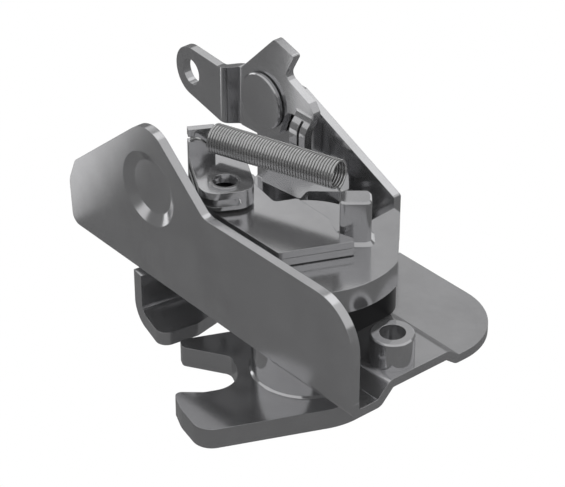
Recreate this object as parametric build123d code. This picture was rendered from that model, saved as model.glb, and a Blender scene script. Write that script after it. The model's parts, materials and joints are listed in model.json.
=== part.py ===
from build123d import *
import os
from math import acos, atan2, cos, degrees, hypot, radians, sin, sqrt, tan

# Rotary latch with a sheet-metal base.
# A hook-shaped claw under the base turns with a cam above it. A pawl holds the
# cam by a lug on its rim, a release lever on the rear flange lifts the pawl, and
# a closed-coil extension spring pulls the cam's post towards a fixed bracket.
#
# Frame, in millimetres: X runs along the front flange, Y goes back from it and
# +Z is up. The origin is on the axis of the fixing bore, in the underside of
# the raised floor. The pieces stand as in the photograph: claw shut on its
# striker space, pawl lifted clear of the cam's lug by the release lever. From
# there the rotor turns 30 degrees, the lever 20 back and the pawl 5.5 back.

# Clearances
RUN = 0.1             # radial running fit of a shaft, pin or bush
SLIDE = 0.1           # axial play beside a turning part
GAP = 0.3             # air between faces that pass each other
KEY_FIT = 0.05        # claw and cam on the shaft's squares
RIVET_HEAD = 1.2      # height of a small closed rivet head

# Base: one bent sheet
SHEET = 2.5
FLANGE_Y = -19.0      # outer face of the front flange
REAR_Y = 37.2         # outer face of the rear flange
RIGHT_X = 6.1         # right end at the front flange
RIGHT_BACK_X = 7.8    # right end at the back corner
FLOOR_LEFT_X = -93.0  # left end of the floor
LOW_Z = -4.1          # underside of the low strip behind the front flange
BACK_Z = -2.6         # underside of the back level
JOGGLE_Y = (-10.0, -6.0)    # rise from the low strip to the raised floor
DROP_Y = (12.6, 16.0)       # fall from the raised floor to the back level
BEND_R = 1.75         # mid-plane radius of the flange bends
JOG_R = 1.5           # mid-plane radius of the joggle bends
FRONT_BEND_X = -24.0  # left end of the front bend
REAR_FLANGE_X = -36.4 # right end of the rear flange
RELIEF = 1.2          # width of the relief slots at the ends of the bends
BACK_CORNER_R = 18.0
FRONT_GAP = 1.0       # between the floor's free front edge and the flange

# Front flange: corners in X and Z with their radii
FLANGE_TOP_Z = 27.5
FLANGE_END_R = 13.0
FLANGE_CORNERS = [
    (-49.8, FLANGE_TOP_Z, 5.0), (-72.1, 46.6, 9.0), (-104.6, 20.1, 3.5),
    (-107.6, 13.0, 7.0), (-106.9, -0.2, 3.0),
]
FLANGE_FOOT_Z = -2.1  # free lower edge beside the bend
DIMPLE_X = -72.4
DIMPLE_Z = 25.9
DIMPLE_R = 10.5
DIMPLE_FLOOR_R = 7.6
DIMPLE_DEPTH = 1.6

# Rear flange: corners in X and Z
REAR_END_Z = 18.3
REAR_SLOPE_X = -66.4
REAR_SLOPE_Z = 31.4
REAR_TOP_X = -74.0
REAR_TOP_Z = 34.7
REAR_LEFT_X = -92.0

# Fixing standoff
BORE_R = 3.3
STANDOFF_R = 5.75
STANDOFF_H = 8.0
STANDOFF_CHAMFER = 0.4
SPIGOT_R = 4.6

# Rotor: claw, shaft and cam on one axis
ROTOR_X = -32.5
ROTOR_Y = 0.5
CLAW_TOP_Z = -17.6
CLAW_T = 6.0
CLAW_ANGLE = 245.0    # direction of the prongs from the axis
CLAW_R = 20.2
COLLAR_R = 14.4
COLLAR_FOOT = 0.6
SHAFT_R = 8.0
JOURNAL_R = 5.0
KEY_AF = 12.0         # across flats of the squares that carry claw and cam
CLAW_WASHER_R = 10.5
CLAW_WASHER_T = 1.5
CAM_Z = 14.9
CAM_T = 7.0
CAM_R = 25.0
CAM_START = -38.0     # direction of the round edge's front end
FLAT_ANGLE = 45.0     # normal of the cam's straight side
FLAT_DISTANCE = CAM_R - 1.74  # from the axis to the straight side
HOOK_TIP_R = CAM_R + 2.0
HOOK_TIP_ANGLE = 81.7
HOOK_ROOT = (4.4, 18.2)
CAM_RIM_R = CAM_R - 6.6       # rim behind the hook
CAM_RIM_END = 205.0
CAM_FRONT_R = CAM_R - 9.0     # rim beside the front flange
CAM_FRONT_END = 300.0
LUG_R = CAM_R - 0.3   # lug that the pawl's tooth holds, low on the rim
LUG_H = 3.2
LUG_ANGLES = (101.0, 116.8)
LUG_FOOT = 124.0      # the stop face leans out to the rim

# Bearing of the shaft
HOUSING_X = 18.6      # half width about the rotor axis
HOUSING_FRONT = 12.5  # from the rotor axis to the front face
HOUSING_BACK = 18.6
HOUSING_R = 8.0
BUSH_WALL = 1.5
BUSH_FLANGE_R = 12.0
BUSH_FLANGE_T = 1.0
THRUST_T = 0.6
HOUSING_SCREW_X = 15.0
HOUSING_SCREW_Y = 8.0
SCREW_R = 2.0
SCREW_HEAD_R = 3.2

# Post on the cam, in polar terms about the rotor axis, with a groove behind it
POST_RADIUS = 12.2
POST_ANGLE = 49.0
POST_RADIAL = 8.1     # size along the radius
POST_ACROSS = 6.4     # size across it
POST_CORNER = 1.6
POST_TOP_Z = 34.4
POST_FOOT = 0.9
NECK_Z = 33.0         # height of the spring's hook on the post
NECK_DEPTH = 0.9
NECK_H = 1.5

# Fixed two-layer bridge over the cam
LAYER_T = 1.95
LAYER_GAP = 0.15      # the thin joint line between the two layers
BRIDGE_TURN = 65.0
BRIDGE_FRONT_Y = -13.7
COLUMN_PLACES = [(-55.5, -2.6), (-60.0, 2.5)]
COLUMN_R = 2.8
COLUMN_PIN_R = 1.8

# Spring bracket: one folded strap, in its own axes P (across) and A (along)
STRAP = 2.0
LEG_P = -59.2
NOSE_P = -36.9
BRACKET_A = (-41.2, -26.9)
BRACKET_FRONT_Y = -15.6
LEAF_TOP_Z = 32.4
LOWER_LEAF_Z = 27.2
FOLD_SLOT_Z = 28.3    # lower face of the slot between the leaves
FOLD_WEB = 3.9        # from the fold's outside to the slot's round end
FOLD_CORNER_R = 5.0
TAB_W = 7.0
TAB_TOP_Z = 39.9
NOTCH_Z = 37.1
NOTCH_H = 1.5
NOTCH_DEPTH = 1.6
LEAF_HOLE = (-53.7, -8.5)
LEAF_HOLE_R = 3.55
EYELET_R = 4.0
EYELET_BORE_R = 3.2
EYELET_RIM = 0.5
FOOT_REACH = 11.0
FOOT_A = -36.5        # front end of the foot
FOOT_RIVETS = [(-65.5, -34.0), (-65.5, -29.2)]
FOOT_RIVET_R = 1.8

# Extension spring
COIL_R = 4.05         # outside radius
COIL_BORE_R = 3.15
COILS = 46
WIRE_R = 0.45
SPRING_Z = 38.3
SPRING_LEFT = (-65.3, -2.8)
SPRING_RIGHT = (-29.7, 9.3)

# Guide bracket: a thick L under the floor, in its own axes
GUIDE_T = 4.0
GUIDE_TURN = -10.0
GUIDE_FOLD = (-77.6, -17.6)   # front end of the inner fold line
GUIDE_LEG_TOP_Z = -16.0
GUIDE_DEPTH = 17.8
GUIDE_REACH = 12.1
GUIDE_INNER_R = 2.5
TENONS = [(2.0, 6.6), (13.2, 15.6)]
TENON_HEAD = 0.8

# Pawl in the cam's layer
PAWL_X = -57.9
PAWL_Y = 26.5
PAWL_Z = 15.1
PAWL_T = 6.5
STUD_R = 3.0
STUD_COLLAR_R = 4.8
CLIP_R = 5.0
CLIP_T = 0.8
STUD_TOP = 1.0
TOOTH_ANGLE = 116.4   # direction of the lifted tooth from the rotor axis
TOOTH_FACE = 2.3      # width of the face that meets the lug
TAIL_GAP = 0.6        # between the lifted tail and the lever's finger
TORSION_R = 6.0
TORSION_WIRE_R = 0.5
TORSION_TURNS = 4

# Release lever on the rear flange
LEVER_FRONT_Y = 31.6
LEVER_T = 2.5
LEVER_CORNERS = [
    (-95.0, 16.3, 0), (-84.5, 16.6, 5.0), (-79.2, 19.8, 3.0), (-76.0, 28.4, 2.5),
    (-65.0, 30.0, 0.8), (-65.0, 32.3, 0.8), (-66.8, 34.7, 0.8), (-76.8, 39.2, 2.0),
    (-73.0, 46.3, 0.8), (-81.0, 48.6, 1.5), (-95.0, 34.4, 0),
]
RIVET_X = -85.3
RIVET_Z = 28.3
RIVET_HEAD_R = 8.2
RIVET_HEAD_T = 1.2
RIVET_NECK_R = 5.7
RIVET_NECK_T = 0.3    # shadow gap between the head and the lever
RIVET_R = 4.0
WASHER_R = 7.5
EAR_PATH = [(-90.0, 32.85), (-96.2, 32.85), (-99.2, 29.2)]
EAR_TURN = 175.5
EAR_HOLE_X = -114.0
EAR_HOLE_Z = 26.2
EAR_HOLE_R = 3.85
EAR_END_R = 7.4
EAR_START = (-98.6, 16.5)     # lower edge beside the step
EAR_CORNER_Z = 19.8   # the sloping lower edge drawn on to the ear's end
FINGER_X = (-71.9, -65.6)
FINGER_Y = 29.0       # front face of the finger
FINGER_TOP_Z = 29.6
FINGER_STEP_Z = 3.0
FINGER_TIP_Z = 16.5
FINGER_BEVEL = (1.6, 5.6)     # depth and height of the bevel that wedges the pawl
FINGER_SLIT = (-68.8, -67.95) # narrow slit that splits the finger
SLIT_TOP_Z = 29.1

LOW_TOP = LOW_Z + SHEET
FLOOR_TOP = SHEET
BACK_TOP = BACK_Z + SHEET
FLANGE_IN_Y = FLANGE_Y + SHEET
REAR_IN_Y = REAR_Y - SHEET
CLAW_LOW_Z = CLAW_TOP_Z - CLAW_T
CAM_TOP = CAM_Z + CAM_T
THRUST_Z = CAM_Z - GAP - THRUST_T
HOUSING_TOP = THRUST_Z - BUSH_FLANGE_T
LAYER_1_Z = CAM_TOP + GAP
LAYER_2_Z = LAYER_1_Z + LAYER_T + LAYER_GAP
BRIDGE_TOP = LAYER_2_Z + LAYER_T
PAWL_TOP = PAWL_Z + PAWL_T
LEVER_BACK_Y = LEVER_FRONT_Y + LEVER_T
LEG_BACK_P = LEG_P + STRAP
TAIL_Y = FINGER_Y - TAIL_GAP


def turned(x, y, angle):
    """The point (x, y) turned about the origin."""
    t = radians(angle)
    return (x * cos(t) - y * sin(t), x * sin(t) + y * cos(t))


def about_rotor(u, v, angle=0.0):
    """A point given along and across a direction from the rotor axis."""
    x, y = turned(u, v, angle)
    return (ROTOR_X + x, ROTOR_Y + y)


def polar(radius, angle):
    return about_rotor(radius, 0, angle)


def rounding(before, corner, after, radius):
    """Start, middle and end of the arc that rounds a corner."""
    a = Vector(*before) - Vector(*corner)
    b = Vector(*after) - Vector(*corner)
    a, b = a.normalized(), b.normalized()
    half = acos(max(-1.0, min(1.0, a.dot(b)))) / 2
    reach = radius / tan(half)
    middle = Vector(*corner) + (a + b).normalized() * (radius / sin(half) - radius)
    return Vector(*corner) + a * reach, middle, Vector(*corner) + b * reach


def edges_through(corners, closed):
    """Lines and arcs through corners (x, y, radius)."""
    count = len(corners)
    stops = []
    for i, (x, y, radius) in enumerate(corners):
        end_point = not closed and i in (0, count - 1)
        if radius == 0 or end_point:
            stops.append((Vector(x, y), None, Vector(x, y)))
        else:
            before = corners[i - 1][:2]
            after = corners[(i + 1) % count][:2]
            stops.append(rounding(before, (x, y), after, radius))
    edges = []
    for i, (start, middle, finish) in enumerate(stops):
        if middle is not None:
            edges.append(ThreePointArc(start, middle, finish))
        if i < count - 1 or closed:
            following = stops[(i + 1) % count][0]
            if (following - finish).length > 0.001:
                edges.append(Line(finish, following))
    return edges


def profile(corners):
    """A flat face whose corners (x, y, radius) are rounded."""
    return make_face(edges_through(corners, True))


def prism(corners, z0, z1):
    """An upright prism over rounded corners."""
    return extrude(Pos(0, 0, z0) * profile(corners), z1 - z0)


def across_y(corners, y0, y1):
    """A plate that stands across Y over corners in X and Z."""
    plane = Plane(origin=(0, y0, 0), x_dir=(1, 0, 0), z_dir=(0, -1, 0))
    return extrude(plane * profile(corners), y0 - y1)


def rod_y(x, z, radius, y0, y1):
    """A round rod along Y."""
    plane = Plane(origin=(x, y0, z), x_dir=(1, 0, 0), z_dir=(0, 1, 0))
    return extrude(plane * Circle(radius), y1 - y0)


def disc(x, y, z0, z1, radius):
    return Pos(x, y, z0) * Cylinder(radius, z1 - z0, align=(Align.CENTER, Align.CENTER, Align.MIN))


def block(x0, x1, y0, y1, z0, z1):
    size = (x1 - x0, y1 - y0, z1 - z0)
    return Pos(x0, y0, z0) * Box(*size, align=(Align.MIN, Align.MIN, Align.MIN))


def sheet_run(corners, thickness, x0, x1):
    """Bent sheet that follows a mid-line (y, z, radius), drawn out along X."""
    band = trace(edges_through(corners, False), line_width=thickness)
    plane = Plane(origin=(x0, 0, 0), x_dir=(0, 1, 0), z_dir=(1, 0, 0))
    return extrude(plane * band, x1 - x0)


# Base and what is fixed in it

def base_plate():
    half = SHEET / 2
    low, floor, back = LOW_Z + half, half, BACK_Z + half
    free_edge = FLANGE_IN_Y + FRONT_GAP
    right = RIGHT_BACK_X + 1
    run = [
        (free_edge, low, 0), (JOGGLE_Y[0], low, JOG_R), (JOGGLE_Y[1], floor, JOG_R),
        (DROP_Y[0], floor, JOG_R), (DROP_Y[1], back, JOG_R), (REAR_IN_Y - 3, back, 0),
    ]
    body = sheet_run(run, SHEET, FLOOR_LEFT_X, right)
    front = [
        (FLANGE_Y + half, LOW_TOP + 2, 0), (FLANGE_Y + half, low, BEND_R), (free_edge + 1, low, 0),
    ]
    body += sheet_run(front, SHEET, FRONT_BEND_X, right)
    edge = [(REAR_IN_Y - 4, back, 0), (REAR_Y + 0.3, back, 0)]
    body += sheet_run(edge, SHEET, REAR_FLANGE_X, right)
    rear = [(REAR_IN_Y - 4, back, 0), (REAR_Y - half, back, BEND_R), (REAR_Y - half, BACK_TOP + 3, 0)]
    body += sheet_run(rear, SHEET, REAR_LEFT_X, REAR_FLANGE_X - RELIEF)
    body -= block(REAR_FLANGE_X - RELIEF, REAR_FLANGE_X, REAR_IN_Y - 2, REAR_Y + 1, BACK_Z - 1, BACK_TOP + 1)
    body &= prism(floor_outline(), LOW_Z - 1, FLOOR_TOP + 3)
    body += front_flange() + rear_flange()
    body -= disc(0, 0, -1, FLOOR_TOP + 1, SPIGOT_R)
    body -= disc(ROTOR_X, ROTOR_Y, LOW_Z - 1, FLOOR_TOP + 1, SHAFT_R + RUN + BUSH_WALL)
    body -= disc(PAWL_X, PAWL_Y, BACK_Z - 1, BACK_TOP + 1, STUD_R)
    for x, y in COLUMN_PLACES:
        body -= disc(x, y, -1, FLOOR_TOP + 1, COLUMN_PIN_R)
    for x, y in foot_rivet_places():
        body -= disc(x, y, -1, FLOOR_TOP + 1, FOOT_RIVET_R)
    for x, y in housing_screw_places():
        body -= disc(x, y, -1, FLOOR_TOP + 1, SCREW_R)
    for tenon in guide_tenons():
        body -= tenon
    return body - rod_y(RIVET_X, RIVET_Z, RIVET_R, REAR_IN_Y - 1, REAR_Y + 1)


def floor_outline():
    return [
        (FLOOR_LEFT_X, FLANGE_Y - 1, 0), (RIGHT_X, FLANGE_Y - 1, 0),
        (RIGHT_BACK_X, REAR_Y + 0.3, BACK_CORNER_R), (FLOOR_LEFT_X, REAR_Y + 0.3, 0),
    ]


def front_flange():
    corners = [
        (RIGHT_X, LOW_TOP, 0), (RIGHT_X, FLANGE_TOP_Z, FLANGE_END_R), *FLANGE_CORNERS,
        (FRONT_BEND_X, FLANGE_FOOT_Z, 0), (FRONT_BEND_X, LOW_TOP, 0),
    ]
    plate = across_y(corners, FLANGE_Y, FLANGE_IN_Y)
    return plate - dimple(FLANGE_Y) + dimple(FLANGE_IN_Y)


def dimple(y):
    """Shallow cone of the pressed dimple, from the plane at y backwards."""
    cone = Cone(DIMPLE_R, DIMPLE_FLOOR_R, DIMPLE_DEPTH, align=(Align.CENTER, Align.CENTER, Align.MIN))
    return Pos(DIMPLE_X, y, DIMPLE_Z) * Rot(-90, 0, 0) * cone


def rear_flange():
    corners = [
        (REAR_FLANGE_X - RELIEF, BACK_TOP + 2, 0), (REAR_FLANGE_X, BACK_TOP + 4, 0),
        (REAR_FLANGE_X, REAR_END_Z, 1.0), (REAR_SLOPE_X, REAR_SLOPE_Z, 0),
        (REAR_TOP_X, REAR_TOP_Z, 2.0), (REAR_LEFT_X, REAR_TOP_Z, 2.0), (REAR_LEFT_X, BACK_TOP + 2, 0),
    ]
    return across_y(corners, REAR_IN_Y, REAR_Y)


def fixing_standoff():
    """Turned bush, its spigot staked in the raised floor."""
    body = disc(0, 0, FLOOR_TOP, FLOOR_TOP + STANDOFF_H, STANDOFF_R)
    body = chamfer(body.edges().group_by(Axis.Z)[-1], STANDOFF_CHAMFER)
    body += disc(0, 0, 0, FLOOR_TOP, SPIGOT_R)
    return body - disc(0, 0, -1, FLOOR_TOP + STANDOFF_H + 1, BORE_R)


def guide_frame():
    return Pos(GUIDE_FOLD[0], GUIDE_FOLD[1], 0) * Rot(0, 0, GUIDE_TURN)


def guide_tenons():
    """Tenons on the guide bracket's wall, up through the floor."""
    tops = [LOW_TOP + TENON_HEAD, FLOOR_TOP + TENON_HEAD]
    tenons = []
    for (y0, y1), top in zip(TENONS, tops):
        tenons.append(guide_frame() * block(-GUIDE_T, 0, y0, y1, LOW_Z - 1, top))
    return tenons


def guide_bracket():
    """Thick L that stops the striker sideways, tenoned into the floor."""
    half = GUIDE_T / 2
    leg_z = GUIDE_LEG_TOP_Z - half
    line = [(-half, 1.0, 0), (-half, leg_z, GUIDE_INNER_R + half), (GUIDE_REACH + 1, leg_z, 0)]
    band = trace(edges_through(line, False), line_width=GUIDE_T)
    plane = Plane(origin=(0, GUIDE_DEPTH, 0), x_dir=(1, 0, 0), z_dir=(0, -1, 0))
    body = extrude(plane * band, GUIDE_DEPTH + 3)
    plan = [
        (-GUIDE_T - 1, -0.9, 0), (2.0, -0.9, 0), (GUIDE_REACH, -1.8, 3.2), (GUIDE_REACH, 9.6, 3.0),
        (GUIDE_REACH - 2.9, GUIDE_DEPTH, 2.0), (-GUIDE_T - 1, GUIDE_DEPTH, 0),
    ]
    body &= prism(plan, GUIDE_LEG_TOP_Z - 6, 2)
    body = guide_frame() * body
    under = block(-90, -60, FLANGE_IN_Y - 6, JOGGLE_Y[0] - 1, LOW_Z, 3)
    under += block(-90, -60, JOGGLE_Y[0] - 1.5, JOGGLE_Y[1] + 1.5, LOW_Z, 3)
    body -= under + block(-90, -60, JOGGLE_Y[1] + 1, 5, 0, 3)
    tenons = guide_tenons()
    return body + tenons[0] + tenons[1]


def housing_screw_places():
    return [(ROTOR_X + s * HOUSING_SCREW_X, ROTOR_Y + HOUSING_SCREW_Y) for s in (-1, 1)]


def shaft_housing():
    """Square bearing block on the raised floor."""
    x0, x1 = ROTOR_X - HOUSING_X, ROTOR_X + HOUSING_X
    y0, y1 = ROTOR_Y - HOUSING_FRONT, ROTOR_Y + HOUSING_BACK
    corners = [(x, y, HOUSING_R) for x, y in ((x0, y0), (x1, y0), (x1, y1), (x0, y1))]
    body = prism(corners, FLOOR_TOP, HOUSING_TOP)
    body -= disc(ROTOR_X, ROTOR_Y, 0, HOUSING_TOP + 1, SHAFT_R + RUN + BUSH_WALL)
    for x, y in housing_screw_places():
        body -= disc(x, y, 0, HOUSING_TOP - 3, SCREW_R)
    return body


def housing_screws():
    """Two screws that hold the housing from below."""
    screws = []
    for x, y in housing_screw_places():
        screw = disc(x, y, 0, HOUSING_TOP - 3, SCREW_R)
        screw += disc(x, y, -1.6, 0, SCREW_HEAD_R)
        screws.append(screw)
    return screws


def shaft_bush():
    """Flanged bush that lines the floor and the housing."""
    body = disc(ROTOR_X, ROTOR_Y, LOW_Z, HOUSING_TOP, SHAFT_R + RUN + BUSH_WALL)
    body += disc(ROTOR_X, ROTOR_Y, HOUSING_TOP, THRUST_Z, BUSH_FLANGE_R)
    return body - disc(ROTOR_X, ROTOR_Y, LOW_Z - 1, THRUST_Z + 1, SHAFT_R + RUN)


def thrust_washer():
    body = disc(ROTOR_X, ROTOR_Y, THRUST_Z, THRUST_Z + THRUST_T, BUSH_FLANGE_R - 0.5)
    return body - disc(ROTOR_X, ROTOR_Y, THRUST_Z - 1, THRUST_Z + 2, SHAFT_R + 0.5)


# Rotor

def key_square(z0, z1, across):
    square = Box(across, across, z1 - z0, align=(Align.CENTER, Align.CENTER, Align.MIN))
    return Pos(ROTOR_X, ROTOR_Y, z0) * Rot(0, 0, CLAW_ANGLE) * square


def claw():
    """Hook plate under the base, with the striker's notch between two prongs."""
    r = CLAW_R
    local = [
        (-r, -r, r), (29.2, -r, 1.2), (29.2, -16.6, 1.5), (17.9, -9.0, 3.0), (17.9, 4.1, 7.3),
        (28.5, 4.2, 4.0), (36.2, 1.9, 1.6), (36.1, 9.5, 12.0), (33.6, r, 5.5), (-r, r, r),
    ]
    corners = [(*about_rotor(u, v, CLAW_ANGLE), radius) for u, v, radius in local]
    body = prism(corners, CLAW_LOW_Z, CLAW_TOP_Z)
    return body - key_square(CLAW_LOW_Z - 1, CLAW_TOP_Z + 1, KEY_AF + 2 * KEY_FIT)


def rotor_shaft():
    """Shaft with a collar over the claw, two squares and a top journal."""
    x, y = ROTOR_X, ROTOR_Y
    body = key_square(CLAW_LOW_Z, CLAW_TOP_Z, KEY_AF)
    body += disc(x, y, CLAW_TOP_Z, LOW_Z - GAP, COLLAR_R)
    foot = Cone(COLLAR_R + COLLAR_FOOT, COLLAR_R, COLLAR_FOOT, align=(Align.CENTER, Align.CENTER, Align.MIN))
    body += Pos(x, y, CLAW_TOP_Z) * foot
    body += disc(x, y, LOW_Z - GAP, CAM_Z, SHAFT_R)
    body += key_square(CAM_Z, CAM_TOP, KEY_AF)
    body += disc(x, y, CAM_TOP, LAYER_1_Z + LAYER_T, JOURNAL_R)
    rivet = disc(x, y, CLAW_LOW_Z - CLAW_WASHER_T - RIVET_HEAD, CLAW_LOW_Z, JOURNAL_R)
    return body + rivet


def claw_washer():
    """Washer under the claw, held by the shaft's riveted end."""
    low = CLAW_LOW_Z - CLAW_WASHER_T
    body = disc(ROTOR_X, ROTOR_Y, low, CLAW_LOW_Z, CLAW_WASHER_R)
    body = chamfer(body.edges().group_by(Axis.Z)[0], 0.4)
    return body - disc(ROTOR_X, ROTOR_Y, low - 1, CLAW_LOW_Z + 1, JOURNAL_R)


def flat_end(angle):
    """Point of the cam's straight side in the given direction."""
    return polar(FLAT_DISTANCE / cos(radians(angle - FLAT_ANGLE)), angle)


def cam():
    """Thick cam with a hook at the back and the spring's post on top."""
    flat_start = FLAT_ANGLE - degrees(acos(FLAT_DISTANCE / CAM_R))
    hook_out = HOOK_TIP_ANGLE - 5.3
    root = about_rotor(*HOOK_ROOT)
    root_angle = degrees(atan2(HOOK_ROOT[1], HOOK_ROOT[0])) + 6
    rim_start = polar(CAM_RIM_R, root_angle)
    rim_end = polar(CAM_RIM_R, CAM_RIM_END)
    front_start = polar(CAM_FRONT_R, CAM_RIM_END + 8)
    front_end = polar(CAM_FRONT_R, CAM_FRONT_END)
    edges = [
        ThreePointArc(polar(CAM_R, CAM_START), polar(CAM_R, 0), polar(CAM_R, flat_start)),
        Line(polar(CAM_R, flat_start), flat_end(hook_out)),
        Line(flat_end(hook_out), polar(HOOK_TIP_R, HOOK_TIP_ANGLE)),
        Line(polar(HOOK_TIP_R, HOOK_TIP_ANGLE), root),
        Line(root, rim_start),
        ThreePointArc(rim_start, polar(CAM_RIM_R, 140), rim_end),
        Line(rim_end, front_start),
        ThreePointArc(front_start, polar(CAM_FRONT_R, 255), front_end),
        Line(front_end, polar(CAM_R, CAM_START)),
    ]
    body = extrude(Pos(0, 0, CAM_Z) * make_face(edges), CAM_T)
    body += cam_lug() + spring_post()
    return body - key_square(CAM_Z - 1, CAM_TOP, KEY_AF + 2 * KEY_FIT) - shaft_relief()


def cam_lug():
    """Low lug on the cam's rim, its stop face turned to the pawl."""
    first, last = LUG_ANGLES
    inner = CAM_RIM_R - 1
    edges = [
        ThreePointArc(polar(LUG_R, first), polar(LUG_R, (first + last) / 2), polar(LUG_R, last)),
        Line(polar(LUG_R, last), polar(CAM_RIM_R, LUG_FOOT)),
        Line(polar(CAM_RIM_R, LUG_FOOT), polar(inner, LUG_FOOT)),
        ThreePointArc(polar(inner, LUG_FOOT), polar(inner, 110), polar(inner, first)),
        Line(polar(inner, first), polar(LUG_R, first)),
    ]
    return extrude(Pos(0, 0, CAM_Z) * make_face(edges), LUG_H)


def shaft_relief():
    return disc(ROTOR_X, ROTOR_Y, CAM_TOP - 1, CAM_TOP + 1, JOURNAL_R + KEY_FIT)


def post_frame(z):
    x, y = polar(POST_RADIUS, POST_ANGLE)
    return Pos(x, y, z) * Rot(0, 0, POST_ANGLE)


def post_point(outward, behind, z):
    """A point in the post's own axes."""
    x, y = about_rotor(POST_RADIUS + outward, behind, POST_ANGLE)
    return (x, y, z)


def post_section(grow):
    """Rounded section of the post, made larger or smaller all round."""
    corner = POST_CORNER + max(grow, -POST_CORNER / 2)
    return RectangleRounded(POST_RADIAL + 2 * grow, POST_ACROSS + 2 * grow, corner)


def spring_post():
    """Post with a groove behind it for the spring's hook."""
    body = extrude(post_frame(CAM_TOP - 1) * post_section(0), POST_TOP_Z - CAM_TOP + 1)
    body = chamfer(body.edges().group_by(Axis.Z)[-1], 0.5)
    foot = post_frame(CAM_TOP) * post_section(POST_FOOT)
    body += loft([foot, post_frame(CAM_TOP + POST_FOOT) * post_section(0)])
    ring = post_section(2) - post_section(-NECK_DEPTH)
    ring &= Pos(0, POST_ACROSS) * Rectangle(2 * POST_RADIAL, 2 * POST_ACROSS)
    return body - extrude(post_frame(NECK_Z - NECK_H / 2) * ring, NECK_H)


# Bridge over the cam

def bridge_corners():
    """Corners of both layers: the free end first, then the wing on the columns."""
    front_v = -11.0
    t = radians(BRIDGE_TURN)
    front_u = (BRIDGE_FRONT_Y - ROTOR_Y - front_v * cos(t)) / sin(t)
    end = [(front_u, front_v, 0), (9.3, front_v, 0.8), (9.3, -9.4, 0.5), (6.1, -5.9, 1.0), (6.1, 1.0, 2.0)]
    back = [(1.2, 12.4, 1.0), (-5.0, 12.4, 1.5)]
    free = [(*about_rotor(u, v, BRIDGE_TURN), radius) for u, v, radius in end + back]
    wing = [(-56.0, 3.2, 1.0), (-59.5, 6.4, 2.0), (-62.8, 4.2, 1.5), (-63.4, -3.0, 1.5)]
    return free + wing + [(-57.0, BRIDGE_FRONT_Y, 2.0)]


def bridge_layer(z):
    body = prism(bridge_corners(), z, z + LAYER_T)
    for x, y in COLUMN_PLACES:
        body -= disc(x, y, z - 1, z + LAYER_T + 1, COLUMN_PIN_R)
    return body


def bridge_lower():
    journal = disc(ROTOR_X, ROTOR_Y, LAYER_1_Z - 1, LAYER_1_Z + LAYER_T + 1, JOURNAL_R + RUN)
    return bridge_layer(LAYER_1_Z) - journal


def bridge_upper():
    return bridge_layer(LAYER_2_Z)


def bridge_columns():
    """Shouldered columns that carry the bridge, riveted at both ends."""
    columns = []
    for x, y in COLUMN_PLACES:
        column = disc(x, y, FLOOR_TOP, LAYER_1_Z, COLUMN_R)
        column += disc(x, y, LAYER_1_Z + LAYER_T, LAYER_2_Z, COLUMN_R)
        column += disc(x, y, 0, BRIDGE_TOP, COLUMN_PIN_R)
        column += disc(x, y, -RIVET_HEAD, 0, COLUMN_R)
        columns.append(column)
    return columns


# Spring bracket

def strap_point(p, a):
    """A point across (p) and along (a) the bracket, from the part's origin."""
    return (sqrt(0.75) * p + a / 2, sqrt(0.75) * a - p / 2)


def strap_prism(corners, z0, z1):
    return prism([(*strap_point(p, a), radius) for p, a, radius in corners], z0, z1)


def strap_block(p0, p1, a0, a1, z0, z1):
    return strap_prism([(p0, a0, 0), (p1, a0, 0), (p1, a1, 0), (p0, a1, 0)], z0, z1)


def foot_rivet_places():
    return [strap_point(p, a) for p, a in FOOT_RIVETS]


def fold_slot():
    """Slot between the two leaves, open at the front and the nose, round at the fold."""
    a0, a1 = BRACKET_A
    low, high = FOLD_SLOT_Z, LEAF_TOP_Z - STRAP
    end, corner = a1 - FOLD_WEB, 0.49 * (high - low)
    section = [(a0 - 1, low, 0), (end, low, corner), (end, high, corner), (a0 - 1, high, 0)]
    origin = (*strap_point(LEG_BACK_P, 0), 0)
    plane = Plane(origin=origin, x_dir=(0.5, sqrt(0.75), 0), z_dir=(sqrt(0.75), -0.5, 0))
    return extrude(plane * profile(section), NOSE_P + 1 - LEG_BACK_P)


def spring_bracket():
    """Folded strap: foot, leg with the spring's tab, and a leaf folded back on itself."""
    a0, a1 = BRACKET_A
    r = FOLD_CORNER_R
    leaf = [(LEG_P, a0, 0), (NOSE_P, a0, r), (NOSE_P, a1, r), (LEG_P, a1, 0)]
    body = strap_prism(leaf, LOWER_LEAF_Z, LEAF_TOP_Z)
    body -= fold_slot()
    body -= block(-60, -40, -30, BRACKET_FRONT_Y, LOWER_LEAF_Z - 1, LEAF_TOP_Z + 1)
    body += strap_block(LEG_P, LEG_BACK_P, a0, a1, FLOOR_TOP, LEAF_TOP_Z)
    body += strap_block(LEG_P, LEG_BACK_P, a0, a0 + TAB_W, LEAF_TOP_Z - 1, TAB_TOP_Z)
    body += strap_block(LEG_P - FOOT_REACH, LEG_P, FOOT_A, a1, FLOOR_TOP, FLOOR_TOP + STRAP)
    notch_z = NOTCH_Z - NOTCH_H / 2
    body -= strap_block(LEG_P - 1, LEG_BACK_P + 1, a0 - 1, a0 + NOTCH_DEPTH, notch_z, notch_z + NOTCH_H)
    body -= disc(*LEAF_HOLE, LEAF_TOP_Z - STRAP - 1, LEAF_TOP_Z + 1, LEAF_HOLE_R)
    for x, y in foot_rivet_places():
        body -= disc(x, y, FLOOR_TOP - 1, FLOOR_TOP + STRAP + 1, FOOT_RIVET_R)
    return body


def foot_rivets():
    rivets = []
    for x, y in foot_rivet_places():
        rivet = disc(x, y, -RIVET_HEAD, 0, FOOT_RIVET_R + 1.4)
        rivet += disc(x, y, 0, FLOOR_TOP + STRAP, FOOT_RIVET_R)
        rivet += disc(x, y, FLOOR_TOP + STRAP, FLOOR_TOP + STRAP + RIVET_HEAD, FOOT_RIVET_R + 1.4)
        rivets.append(rivet)
    return rivets


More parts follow.
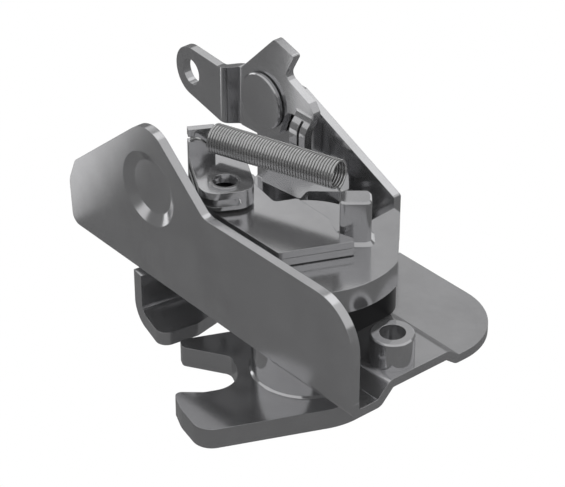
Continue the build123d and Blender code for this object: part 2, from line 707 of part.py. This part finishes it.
def leaf_eyelet():
    """Eyelet pressed in the leaf's hole, its rim on top."""
    x, y = LEAF_HOLE
    body = disc(x, y, LEAF_TOP_Z - STRAP, LEAF_TOP_Z, LEAF_HOLE_R)
    body += disc(x, y, LEAF_TOP_Z, LEAF_TOP_Z + EYELET_RIM, EYELET_R)
    return body - disc(x, y, LEAF_TOP_Z - STRAP - 1, LEAF_TOP_Z + 2, EYELET_BORE_R)


# Extension spring

def spring_frame():
    """Plane at the left end whose Z axis runs along the spring."""
    dx = SPRING_RIGHT[0] - SPRING_LEFT[0]
    dy = SPRING_RIGHT[1] - SPRING_LEFT[1]
    return Plane(origin=(*SPRING_LEFT, SPRING_Z), x_dir=(0, 0, 1), z_dir=(dx, dy, 0))


def spring_coils():
    """The tight coils as one ridged sleeve."""
    length = hypot(SPRING_RIGHT[0] - SPRING_LEFT[0], SPRING_RIGHT[1] - SPRING_LEFT[1])
    pitch = length / COILS
    points = [(COIL_BORE_R, 0)]
    for i in range(COILS):
        points += [(COIL_R - 0.3, i * pitch), (COIL_R, (i + 0.5) * pitch)]
    points += [(COIL_R - 0.3, length), (COIL_BORE_R, length)]
    upright = Plane.XZ * make_face(Polyline(*points, close=True))
    return spring_frame() * revolve(upright, Axis.Z)


def wire(points):
    """Round wire that follows a smooth line."""
    line = Spline(*points)
    start = Plane(origin=line @ 0, z_dir=line % 0)
    return sweep(start * Circle(WIRE_R), path=line)


def left_hook():
    """Hook from the first coil to the notch in the bracket's tab."""
    a0 = BRACKET_A[0]
    z = NOTCH_Z
    inside = LEG_BACK_P + 1.0
    notch_a = a0 + NOTCH_DEPTH - WIRE_R - 0.2
    return wire([
        (*strap_point(-54.6, -38.6), SPRING_Z), (*strap_point(inside - 0.2, -39.6), z + 1.0),
        (*strap_point(LEG_BACK_P, notch_a), z), (*strap_point(LEG_P, notch_a), z),
        (*strap_point(LEG_P - 0.7, notch_a + 0.7), z - 0.1),
        (*strap_point(LEG_P - 0.8, notch_a + 2.2), z - 0.4),
    ])


def right_hook():
    """Wire from the last coil into the groove behind the cam's post."""
    left, back = -POST_RADIAL / 2, POST_ACROSS / 2
    inset = NECK_DEPTH - WIRE_R - 0.13
    side = POST_RADIAL / 2 - inset
    return wire([
        (SPRING_RIGHT[0] - 0.3, SPRING_RIGHT[1] - 0.6, SPRING_Z - COIL_R + WIRE_R + 0.1),
        post_point(left - 0.2, back + 1.0, NECK_Z + 0.9), post_point(left + 1.2, back + 0.5, NECK_Z + 0.1),
        post_point(left + 3.0, back - inset, NECK_Z), post_point(side - 1.3, back - inset, NECK_Z),
        post_point(side - 0.4, back - inset - 0.4, NECK_Z), post_point(side, back - inset - 1.3, NECK_Z),
        post_point(side, back - inset - 2.0, NECK_Z),
    ])


def extension_spring():
    return [spring_coils() + left_hook() + right_hook()]


# Pawl and its pivot

def pawl_corners():
    """Lifted outline: nose, tooth, back, boss and tail."""
    x, y = polar(LUG_R + GAP, TOOTH_ANGLE)
    nose = [(-62.0, 10.4, 1.2), (-48.2, 12.1, 0.6), (-49.9, 16.1, 1.0)]
    tooth = [(x, y, 0.3), (x, y + TOOTH_FACE, 0.5)]
    back = [(-48.5, 29.5, 2.0), (-52.0, 31.6, 3.0)]
    boss = [(-62.9, 31.6, 4.8), (-62.9, TAIL_Y, 0.8)]
    tail = [(-74.0, TAIL_Y, 1.0), (-74.0, 20.0, 1.5), (-66.5, 18.6, 3.0)]
    return nose + tooth + back + boss + tail


def pawl():
    """Plate cut away below, so the lug passes under the lifted tooth's side."""
    body = prism(pawl_corners(), PAWL_Z, PAWL_TOP)
    body -= disc(ROTOR_X, ROTOR_Y, PAWL_Z - 1, CAM_Z + LUG_H + GAP, LUG_R + GAP)
    return body - disc(PAWL_X, PAWL_Y, PAWL_Z - 1, PAWL_TOP + 1, STUD_R + RUN)


def pawl_stud():
    """Stud riveted in the back level of the floor, grooved for its clip."""
    x, y = PAWL_X, PAWL_Y
    body = disc(x, y, BACK_Z, PAWL_TOP + GAP + CLIP_T + STUD_TOP, STUD_R)
    body = chamfer(body.edges().group_by(Axis.Z)[-1], 0.4)
    body += disc(x, y, BACK_Z - RIVET_HEAD, BACK_Z, STUD_R + 1.6)
    groove = disc(x, y, PAWL_TOP + SLIDE, PAWL_TOP + SLIDE + CLIP_T, STUD_R + 1)
    return body - (groove - disc(x, y, PAWL_TOP, PAWL_TOP + 2, STUD_R - 0.6))


def pawl_spacer():
    """Tube on the stud that sets the pawl's height."""
    x, y = PAWL_X, PAWL_Y
    body = disc(x, y, BACK_TOP, PAWL_Z - SLIDE, STUD_COLLAR_R)
    return body - disc(x, y, BACK_TOP - 1, PAWL_Z + 1, STUD_R)


def pawl_clip():
    """Snap ring in the stud's groove."""
    x, y = PAWL_X, PAWL_Y
    z = PAWL_TOP + SLIDE
    body = disc(x, y, z, z + CLIP_T, CLIP_R) - disc(x, y, z - 1, z + 2, STUD_R - 0.6)
    return body - block(x, x + CLIP_R + 1, y - 1.6, y + 1.6, z - 1, z + 2)


def pawl_spring():
    """Torsion spring round the spacer: one leg on the rear flange, one under the pawl."""
    low = BACK_TOP + 4
    pitch = 2 * TORSION_WIRE_R + 0.5
    coil = Helix(pitch, pitch * TORSION_TURNS, TORSION_R)
    start = Plane(origin=coil @ 0, z_dir=coil % 0)
    body = sweep(start * Circle(TORSION_WIRE_R), path=coil)
    leg = Plane(origin=(TORSION_R, 0, 0), z_dir=(0, 1, 0)) * Circle(TORSION_WIRE_R)
    body += extrude(leg, -9)
    top = pitch * TORSION_TURNS
    far = Plane(origin=(TORSION_R, 0, top), z_dir=(0, 1, 0)) * Circle(TORSION_WIRE_R)
    body += extrude(far, 7)
    return Pos(PAWL_X, PAWL_Y, low) * body


# Release lever

def lever_ear():
    """Left end of the lever: a step forward, then an ear with the rod's hole."""
    x, y = EAR_PATH[-1]
    dx, dy = turned(24, 0, EAR_TURN)
    path = [(*EAR_PATH[0], 0), (*EAR_PATH[1], 2.2), (*EAR_PATH[2], 2.2), (x + dx, y + dy, 0)]
    band = trace(edges_through(path, False), line_width=LEVER_T)
    body = extrude(Pos(0, 0, 10) * band, 30)
    end_x = EAR_HOLE_X - EAR_END_R
    high = EAR_HOLE_Z + EAR_END_R
    corners = [
        (-93.0, EAR_START[1], 0), (*EAR_START, 3.0), (end_x, EAR_CORNER_Z, EAR_END_R - 0.01),
        (end_x, high, EAR_END_R - 0.01), (-101.0, high, 3.0), (-96.0, 34.4, 3.0), (-93.0, 34.4, 0),
    ]
    body &= across_y(corners, 20, 40)
    return body - rod_y(EAR_HOLE_X, EAR_HOLE_Z, EAR_HOLE_R, 20, 40)


def lever_finger():
    """Finger that steps forward and wedges in behind the pawl's tail."""
    half = LEVER_T / 2
    back_mid, front_mid = LEVER_FRONT_Y + half, FINGER_Y + half
    low_bend = FINGER_TOP_Z - FINGER_STEP_Z
    path = [
        (back_mid, FINGER_TOP_Z + 3, 0), (back_mid, FINGER_TOP_Z, 5.0),
        (front_mid, low_bend, 4.0), (front_mid, FINGER_TIP_Z, 0),
    ]
    body = sheet_run(path, LEVER_T, *FINGER_X)
    depth, height = FINGER_BEVEL
    wedge = [
        (FINGER_Y - 1, FINGER_TIP_Z - 1, 0), (FINGER_Y + depth, FINGER_TIP_Z - 1, 0),
        (FINGER_Y + depth, FINGER_TIP_Z, 0), (FINGER_Y, FINGER_TIP_Z + height, 0),
        (FINGER_Y - 1, FINGER_TIP_Z + height, 0),
    ]
    plane = Plane(origin=(FINGER_X[0] - 1, 0, 0), x_dir=(0, 1, 0), z_dir=(1, 0, 0))
    body -= extrude(plane * profile(wedge), FINGER_X[1] - FINGER_X[0] + 2)
    return body - block(*FINGER_SLIT, FINGER_Y - 1, LEVER_FRONT_Y, FINGER_TIP_Z - 1, SLIT_TOP_Z)


def release_lever():
    """One bent plate: rivet boss, horn, ear for the pull rod and finger for the pawl."""
    body = across_y(LEVER_CORNERS, LEVER_FRONT_Y, LEVER_BACK_Y)
    body += lever_ear() + lever_finger()
    return body - rod_y(RIVET_X, RIVET_Z, RIVET_R + RUN, LEVER_FRONT_Y - 1, LEVER_BACK_Y + 1)


def lever_rivet():
    """Shouldered rivet, closed behind the rear flange."""
    shoulder_y = LEVER_FRONT_Y - SLIDE
    head_y = shoulder_y - RIVET_NECK_T
    body = rod_y(RIVET_X, RIVET_Z, RIVET_HEAD_R, head_y - RIVET_HEAD_T, head_y)
    body = chamfer(body.edges().group_by(Axis.Y)[0], 0.35)
    body += rod_y(RIVET_X, RIVET_Z, RIVET_NECK_R, head_y, shoulder_y)
    body += rod_y(RIVET_X, RIVET_Z, RIVET_R, shoulder_y, REAR_Y)
    return body + rod_y(RIVET_X, RIVET_Z, RIVET_R + 2, REAR_Y, REAR_Y + RIVET_HEAD)


def lever_washer():
    front = LEVER_BACK_Y + SLIDE
    body = rod_y(RIVET_X, RIVET_Z, WASHER_R, front, REAR_IN_Y)
    return body - rod_y(RIVET_X, RIVET_Z, RIVET_R, front - 1, REAR_IN_Y + 1)


NODES = [
    base_plate, fixing_standoff, guide_bracket, shaft_housing, housing_screws, shaft_bush,
    thrust_washer, claw, rotor_shaft, claw_washer, cam, bridge_lower, bridge_upper,
    bridge_columns, spring_bracket, foot_rivets, leaf_eyelet, extension_spring, pawl,
    pawl_stud, pawl_spacer, pawl_clip, pawl_spring, release_lever, lever_rivet, lever_washer,
]


def as_solids(made):
    """The separate solids of a node as one export shape."""
    pieces = made if isinstance(made, list) else [made]
    solids = [solid for piece in pieces for solid in piece.solids()]
    return solids[0] if len(solids) == 1 else Compound(children=solids)


def main():
    os.makedirs("parts", exist_ok=True)
    for node in NODES:
        export_step(as_solids(node()), "parts/" + node.__name__ + ".step")


main()
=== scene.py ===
import json
from math import cos, pi, radians, sin

import bpy
from mathutils import Matrix, Vector


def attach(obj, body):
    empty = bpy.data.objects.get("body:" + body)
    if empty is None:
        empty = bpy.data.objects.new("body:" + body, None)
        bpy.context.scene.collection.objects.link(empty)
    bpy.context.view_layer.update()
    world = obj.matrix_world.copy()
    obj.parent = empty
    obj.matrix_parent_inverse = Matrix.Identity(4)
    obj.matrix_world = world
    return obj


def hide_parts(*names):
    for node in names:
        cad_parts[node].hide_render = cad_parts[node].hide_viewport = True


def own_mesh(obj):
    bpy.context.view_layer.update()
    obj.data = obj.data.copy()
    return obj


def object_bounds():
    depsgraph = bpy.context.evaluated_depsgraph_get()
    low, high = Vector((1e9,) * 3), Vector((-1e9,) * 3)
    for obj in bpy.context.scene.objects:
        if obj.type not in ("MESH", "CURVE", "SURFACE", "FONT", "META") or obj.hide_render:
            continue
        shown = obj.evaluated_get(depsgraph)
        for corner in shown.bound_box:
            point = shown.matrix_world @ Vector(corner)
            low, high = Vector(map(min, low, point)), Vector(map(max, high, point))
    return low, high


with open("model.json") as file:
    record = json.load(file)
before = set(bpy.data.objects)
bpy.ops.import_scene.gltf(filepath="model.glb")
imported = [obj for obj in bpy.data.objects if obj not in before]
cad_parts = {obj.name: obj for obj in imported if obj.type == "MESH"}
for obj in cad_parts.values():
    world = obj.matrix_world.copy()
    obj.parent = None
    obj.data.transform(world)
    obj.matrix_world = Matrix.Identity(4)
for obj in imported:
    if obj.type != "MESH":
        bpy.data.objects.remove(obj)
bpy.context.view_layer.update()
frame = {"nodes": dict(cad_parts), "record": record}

MM = 0.001

# Photograph: size, focal length in pixels, viewing direction and one fixed point
PHOTO_WIDTH = 565.0
PHOTO_HEIGHT = 487.0
FOCAL_PX = 2200.0
SENSOR_MM = 36.0
VIEW_AZIMUTH = 49.0
VIEW_ELEVATION = 32.9
SCALE_PX_PER_MM = 4.12
ANCHOR_MM = (6.1, -19.0, -2.5)
ANCHOR_PX = (351.4, 416.4)
CLIP_START = 0.01

# Extension spring, in the sizes of the part's source, in millimetres
TURN_R = 3.65
WIRE_R = 0.45
TURN_WIRE_R = 0.37    # the wound turns, drawn a little thinner so the grooves read
COILS = 46
STEPS_PER_TURN = 28
SPRING_Z = 38.3
SPRING_LEFT = (-65.3, -2.8)
SPRING_RIGHT = (-29.7, 9.3)
NOTCH_Z = 37.1        # height of the left hook in the bracket's notch
STRAP_COS, STRAP_SIN = 0.866, 0.5    # direction of the bracket's strap
ROTOR_X, ROTOR_Y = -32.5, 0.5
POST_RADIUS = 12.2
POST_ANGLE = 49.0
NECK_Z = 33.0         # height of the right hook on the cam's post

# Bare metal
SHEET = (0.52, 0.52, 0.53)
TURNED = (0.54, 0.54, 0.55)
FORGED = (0.5, 0.5, 0.51)
SPRING = (0.49, 0.49, 0.49)
RIVET = (0.5, 0.5, 0.51)
# Painted shade: the shaft housing is near black, standing in for the deep shadow under the cam
HOUSING_PAINTED_SHADE = (0.015, 0.015, 0.016)
METAL = 0.85
TINT = 0.07           # share by which the clouds darken and lighten the colour
CLOUD_SCALE = 70.0
GRAIN_SCALE = 900.0
GRAIN_RELIEF = 0.01
GLOSS_SPREAD = 0.03
EDGE_MM = 0.2         # radius of the softly broken edges
FINE_EDGE_MM = 0.03

# Studio, in metres. A stop is a distance along a card's direction and the glow from there.
MIDDLE = Vector((-0.04, 0.01, 0.01))
ACROSS = (0.656, 0.755, 0)    # the picture's horizontal
WORLD_LEVEL = 0.9
FLOOR_SIZE = 6.0
FLOOR_COLOUR = (0.85, 0.85, 0.85, 1)
MAT_SIZE = 3.0
MAT_GLOW = 0.19
SKY_ANGLE = 139.0
SKY_HEIGHT = 0.8
SKY_STOPS = [(-0.2, 0.85), (-0.1, 0.9), (0.0, 0.68), (0.1, 0.52), (0.25, 0.42)]
EDGE_CARD_OFFSET = Vector((-0.12, 0.55, 0.85))
EDGE_GLOW = 1.3
WALL = 0.9            # distance of each wall from the object
WALL_HEIGHT = 0.5
DARK = 0.22           # glow of a wall beside its bright strip
WALLS = [
    ("left_wall", -WALL, 0, (0, 1, 0),
     [(-0.5, DARK), (-0.3, DARK), (-0.2, 1.6), (-0.05, 1.6), (0.05, DARK)]),
    ("right_wall", WALL, 0, (0, 1, 0), [(-0.1, DARK), (0.05, 1.3), (0.35, 1.3), (0.45, DARK)]),
    ("back_wall", 0, WALL, (1, 0, 0), [(-0.6, DARK), (-0.4, 1.2), (-0.25, 1.2), (-0.1, DARK)]),
    ("front_wall", 0, -WALL, (1, 0, 0), [(-0.75, DARK), (-0.6, 1.0), (-0.4, 1.0), (-0.25, DARK)]),
]
END_X, END_Y, END_Z = -0.140, -0.0515, -0.0095
END_STOPS = [(-0.060, MAT_GLOW), (-0.0365, 0.95), (-0.02, 1.6)]


# Materials

def add(tree, kind, **values):
    """A shader node with its inputs or attributes set by name."""
    node = tree.nodes.new(kind)
    for name, value in values.items():
        label = name.replace("_", " ")
        if label in node.inputs:
            node.inputs[label].default_value = value
        else:
            setattr(node, name, value)
    return node


def blank_tree(owner):
    """The owner's shader tree, emptied, with its link function."""
    owner.use_nodes = True
    owner.node_tree.nodes.clear()
    return owner.node_tree, owner.node_tree.links.new


def steel(name, colour, roughness, edge=EDGE_MM):
    """Bare steel: faint clouds in its colour, fine grain in its gloss, softly broken edges."""
    material = bpy.data.materials.new(name)
    tree, link = blank_tree(material)
    out = add(tree, "ShaderNodeOutputMaterial")
    shader = add(tree, "ShaderNodeBsdfPrincipled", Metallic=METAL)
    link(shader.outputs["BSDF"], out.inputs["Surface"])
    place = add(tree, "ShaderNodeTexCoord")

    clouds = add(tree, "ShaderNodeTexNoise", Scale=CLOUD_SCALE, Detail=4.0, Roughness=0.6)
    link(place.outputs["Object"], clouds.inputs["Vector"])
    tint = add(tree, "ShaderNodeValToRGB")
    low, high = tint.color_ramp.elements
    low.position, high.position = 0.3, 0.7
    low.color = (*[(1 - TINT) * c for c in colour], 1)
    high.color = (*[(1 + TINT) * c for c in colour], 1)
    link(clouds.outputs["Fac"], tint.inputs["Fac"])
    link(tint.outputs["Color"], shader.inputs["Base Color"])

    grain = add(tree, "ShaderNodeTexNoise", Scale=GRAIN_SCALE, Detail=3.0, Roughness=0.5)
    link(place.outputs["Object"], grain.inputs["Vector"])
    gloss = add(tree, "ShaderNodeMapRange")
    gloss.inputs["To Min"].default_value = roughness - GLOSS_SPREAD
    gloss.inputs["To Max"].default_value = roughness + GLOSS_SPREAD
    link(grain.outputs["Fac"], gloss.inputs["Value"])
    link(gloss.outputs["Result"], shader.inputs["Roughness"])

    soft_edge = add(tree, "ShaderNodeBevel", samples=4)
    soft_edge.inputs["Radius"].default_value = edge * MM
    relief = add(tree, "ShaderNodeBump", Strength=GRAIN_RELIEF, Distance=0.2 * MM)
    link(grain.outputs["Fac"], relief.inputs["Height"])
    link(soft_edge.outputs["Normal"], relief.inputs["Normal"])
    link(relief.outputs["Normal"], shader.inputs["Normal"])
    return material


def dress_nodes(materials):
    """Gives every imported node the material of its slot."""
    for row in frame["record"]["subparts"]:
        mesh = frame["nodes"][row["node"]].data
        mesh.materials.clear()
        mesh.materials.append(materials[row["material_slot"]])


# Extension spring

def post_point(outward, behind, z=NECK_Z):
    """A point in the axes of the cam's post."""
    turn = radians(POST_ANGLE)
    u, v = POST_RADIUS + outward, behind
    return Vector((ROTOR_X + u * cos(turn) - v * sin(turn), ROTOR_Y + u * sin(turn) + v * cos(turn), z))


def strap_point(across, along, z):
    """A point in the axes of the spring bracket's strap."""
    return Vector((STRAP_COS * across + STRAP_SIN * along, STRAP_COS * along - STRAP_SIN * across, z))


def spring_points():
    """Wire's centre line: left hook, turns, right hook, in millimetres."""
    start = Vector((*SPRING_LEFT, SPRING_Z))
    end = Vector((*SPRING_RIGHT, SPRING_Z))
    along = (end - start).normalized()
    side = along.cross(Vector((0, 0, 1))).normalized()
    length = (end - start).length - 2 * WIRE_R
    left = [
        strap_point(-60.0, -37.6, NOTCH_Z - 0.4), strap_point(-59.9, -39.1, NOTCH_Z - 0.1),
        strap_point(-59.2, -40.2, NOTCH_Z), strap_point(-57.2, -40.2, NOTCH_Z),
        strap_point(-56.0, -39.8, NOTCH_Z + 0.6), strap_point(-55.0, -38.9, SPRING_Z + 0.4),
    ]
    steps = COILS * STEPS_PER_TURN
    turns = []
    for i in range(steps + 1):
        turn = 2 * pi * i / STEPS_PER_TURN
        centre = start + along * (WIRE_R + length * i / steps)
        turns.append(centre + side * (TURN_R * sin(turn)) - Vector((0, 0, TURN_R * cos(turn))))
    right = [
        post_point(-4.2, 4.2, NECK_Z + 0.9), post_point(-2.8, 3.7, NECK_Z + 0.1), post_point(-1.0, 2.9),
        post_point(2.4, 2.88), post_point(3.35, 2.5), post_point(3.73, 1.6), post_point(3.73, 0.9),
    ]
    return left, turns, right


def wire_object(name, points, kind, radius=WIRE_R):
    """A round wire along the points, as a curve object."""
    curve = bpy.data.curves.new(name, "CURVE")
    curve.dimensions = "3D"
    curve.bevel_depth = radius * MM
    curve.bevel_resolution = 3
    curve.use_fill_caps = True
    spline = curve.splines.new(kind)
    spline.points.add(len(points) - 1)
    for point, place in zip(spline.points, points):
        point.co = (*(place * MM), 1)
    if kind == "NURBS":
        spline.order_u = 3
        spline.use_endpoint_u = True
        spline.resolution_u = 8
    piece = bpy.data.objects.new(name, curve)
    bpy.context.scene.collection.objects.link(piece)
    return piece


def as_mesh(piece):
    """The piece's evaluated form as a smooth mesh object."""
    depsgraph = bpy.context.evaluated_depsgraph_get()
    mesh = bpy.data.meshes.new_from_object(piece.evaluated_get(depsgraph))
    solid = bpy.data.objects.new(piece.name + "_wire", mesh)
    bpy.context.scene.collection.objects.link(solid)
    bpy.data.objects.remove(piece)
    for face in mesh.polygons:
        face.use_smooth = True
    return solid


def build_spring(material):
    """The wound spring: its left hook stays on the base, its right hook follows the cam."""
    left, turns, right = spring_points()
    left_hook = as_mesh(wire_object("spring_left_hook", left + turns[:3], "NURBS"))
    coils = as_mesh(wire_object("spring_coils", turns, "POLY", TURN_WIRE_R))
    right_hook = as_mesh(wire_object("spring_right_hook", turns[-3:] + right, "NURBS"))
    for part, body in ((left_hook, "latch_base"), (coils, "latch_base"), (right_hook, "rotor")):
        part.data.materials.clear()
        part.data.materials.append(material)
        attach(part, body)
    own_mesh(coils)
    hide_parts("extension_spring")


# Studio

def seen_by(tree, *rays):
    """1 for any of the named kinds of ray, otherwise 0."""
    path = add(tree, "ShaderNodeLightPath")
    total = path.outputs[rays[0]]
    for ray in rays[1:]:
        either = add(tree, "ShaderNodeMath", operation="MAXIMUM")
        tree.links.new(total, either.inputs[0])
        tree.links.new(path.outputs[ray], either.inputs[1])
        total = either.outputs[0]
    return total


def plain_world():
    """White to camera, glossy and transmission rays, a plain grey light to the rest."""
    world = bpy.data.worlds.new("studio")
    bpy.context.scene.world = world
    tree, link = blank_tree(world)
    out = add(tree, "ShaderNodeOutputWorld")
    shade = add(tree, "ShaderNodeBackground")
    strength = add(tree, "ShaderNodeMapRange")
    strength.inputs["To Min"].default_value = WORLD_LEVEL
    strength.inputs["To Max"].default_value = 1.0
    link(seen_by(tree, "Is Camera Ray", "Is Glossy Ray", "Is Transmission Ray"), strength.inputs["Value"])
    link(strength.outputs["Result"], shade.inputs["Strength"])
    link(shade.outputs[0], out.inputs["Surface"])


def pale_floor(low):
    """Plain white floor under the lowest piece."""
    bpy.ops.mesh.primitive_plane_add(size=FLOOR_SIZE, location=(0, 0, low))
    floor = bpy.context.object
    floor.name = "floor"
    material = bpy.data.materials.new("floor_white")
    tree, link = blank_tree(material)
    out = add(tree, "ShaderNodeOutputMaterial")
    matte = add(tree, "ShaderNodeBsdfDiffuse", Color=FLOOR_COLOUR)
    white = add(tree, "ShaderNodeEmission", Strength=1.0)
    mix = add(tree, "ShaderNodeMixShader")
    link(seen_by(tree, "Is Camera Ray", "Is Glossy Ray"), mix.inputs["Fac"])
    link(matte.outputs[0], mix.inputs[1])
    link(white.outputs[0], mix.inputs[2])
    link(mix.outputs[0], out.inputs["Surface"])
    floor.data.materials.append(material)


def card(name, place, aim, width, height, direction, stops):
    """Studio card that the camera doesn't see, with a glow that follows its stops."""
    bpy.ops.mesh.primitive_plane_add(size=1.0)
    piece = bpy.context.object
    piece.name = name
    piece.scale = (width, height, 1)
    piece.location = place
    piece.rotation_euler = (Vector(aim) - Vector(place)).to_track_quat("Z", "Y").to_euler()
    piece.visible_camera = False
    material = bpy.data.materials.new(name)
    tree, link = blank_tree(material)
    out = add(tree, "ShaderNodeOutputMaterial")
    glow = add(tree, "ShaderNodeEmission", Strength=stops[0][1])
    link(glow.outputs[0], out.inputs["Surface"])
    if len(stops) > 1:
        where = add(tree, "ShaderNodeNewGeometry")
        along = add(tree, "ShaderNodeVectorMath", operation="DOT_PRODUCT")
        along.inputs[1].default_value = direction
        link(where.outputs["Position"], along.inputs[0])
        total = None
        for (near, first), (far, last) in zip(stops, stops[1:]):
            step = add(tree, "ShaderNodeMapRange", interpolation_type="SMOOTHSTEP")
            step.inputs["From Min"].default_value = near
            step.inputs["From Max"].default_value = far
            step.inputs["To Min"].default_value = 0 if total else first
            step.inputs["To Max"].default_value = last - first if total else last
            link(along.outputs["Value"], step.inputs["Value"])
            if total:
                both = add(tree, "ShaderNodeMath", operation="ADD")
                link(total, both.inputs[0])
                link(step.outputs["Result"], both.inputs[1])
                total = both.outputs[0]
            else:
                total = step.outputs["Result"]
        link(total, glow.inputs["Strength"])
    piece.data.materials.append(material)


def studio_cards(low):
    """Grey mat, sky, edge light, four walls with a bright strip each, and the flange's end light."""
    card("grey_mat", (0, 0, low + MM), (0, 0, 1), MAT_SIZE, MAT_SIZE, ACROSS, [(0, MAT_GLOW)])
    turn = radians(SKY_ANGLE)
    sky = Vector((cos(turn), sin(turn), SKY_HEIGHT))
    card("sky_card", MIDDLE + sky, MIDDLE, 1.6, 1.3, ACROSS, SKY_STOPS)
    card("edge_card", MIDDLE + EDGE_CARD_OFFSET, MIDDLE, 0.42, 0.34, ACROSS, [(0, EDGE_GLOW)])
    wall_z = low + WALL_HEIGHT / 2
    for name, x, y, direction, stops in WALLS:
        card(name, (x, y, wall_z), (0, 0, wall_z), 2 * WALL, WALL_HEIGHT, direction, stops)
    card("end_card", (END_X, END_Y, END_Z), (0, END_Y, END_Z), 0.047, 0.0315, (0, 0.72, 0.69), END_STOPS)


# Camera

def camera_axes():
    """Right, up and back of the photograph's camera."""
    a, e = radians(VIEW_AZIMUTH), radians(VIEW_ELEVATION)
    back = Vector((sin(a) * cos(e), -cos(a) * cos(e), sin(e)))
    right = Vector((cos(a), sin(a), 0))
    return right, back.cross(right), back


def photo_camera():
    """Camera that puts the anchor point on its pixel."""
    right, up, back = camera_axes()
    depth = FOCAL_PX / SCALE_PX_PER_MM
    off_x = (ANCHOR_PX[0] - PHOTO_WIDTH / 2) / FOCAL_PX
    off_y = (ANCHOR_PX[1] - PHOTO_HEIGHT / 2) / FOCAL_PX
    ray = -back + right * off_x - up * off_y
    place = (Vector(ANCHOR_MM) - ray * depth) * MM
    data = bpy.data.cameras.new("photo_camera")
    data.sensor_fit = "HORIZONTAL"
    data.sensor_width = SENSOR_MM
    data.lens = FOCAL_PX / PHOTO_WIDTH * SENSOR_MM
    data.clip_start = CLIP_START
    camera = bpy.data.objects.new("photo_camera", data)
    turn = Matrix((right, up, back)).transposed().to_4x4()
    camera.matrix_world = Matrix.Translation(place) @ turn
    bpy.context.scene.collection.objects.link(camera)
    bpy.context.scene.camera = camera


materials = {
    "plated_sheet": steel("plated_sheet", SHEET, 0.15),
    "lever_sheet": steel("lever_sheet", SHEET, 0.13),
    "turned_steel": steel("turned_steel", TURNED, 0.1),
    "forged_steel": steel("forged_steel", FORGED, 0.15),
    # The housing's near-black colour is painted shade for the shadow under the cam
    "dark_block": steel("dark_block", HOUSING_PAINTED_SHADE, 0.3),
    "spring_steel": steel("spring_steel", SPRING, 0.13, FINE_EDGE_MM),
    "rivet_steel": steel("rivet_steel", RIVET, 0.12),
}
dress_nodes(materials)
build_spring(materials["spring_steel"])
plain_world()
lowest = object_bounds()[0][2]
pale_floor(lowest)
studio_cards(lowest)
photo_camera()
bpy.context.scene.view_settings.view_transform = "Standard"
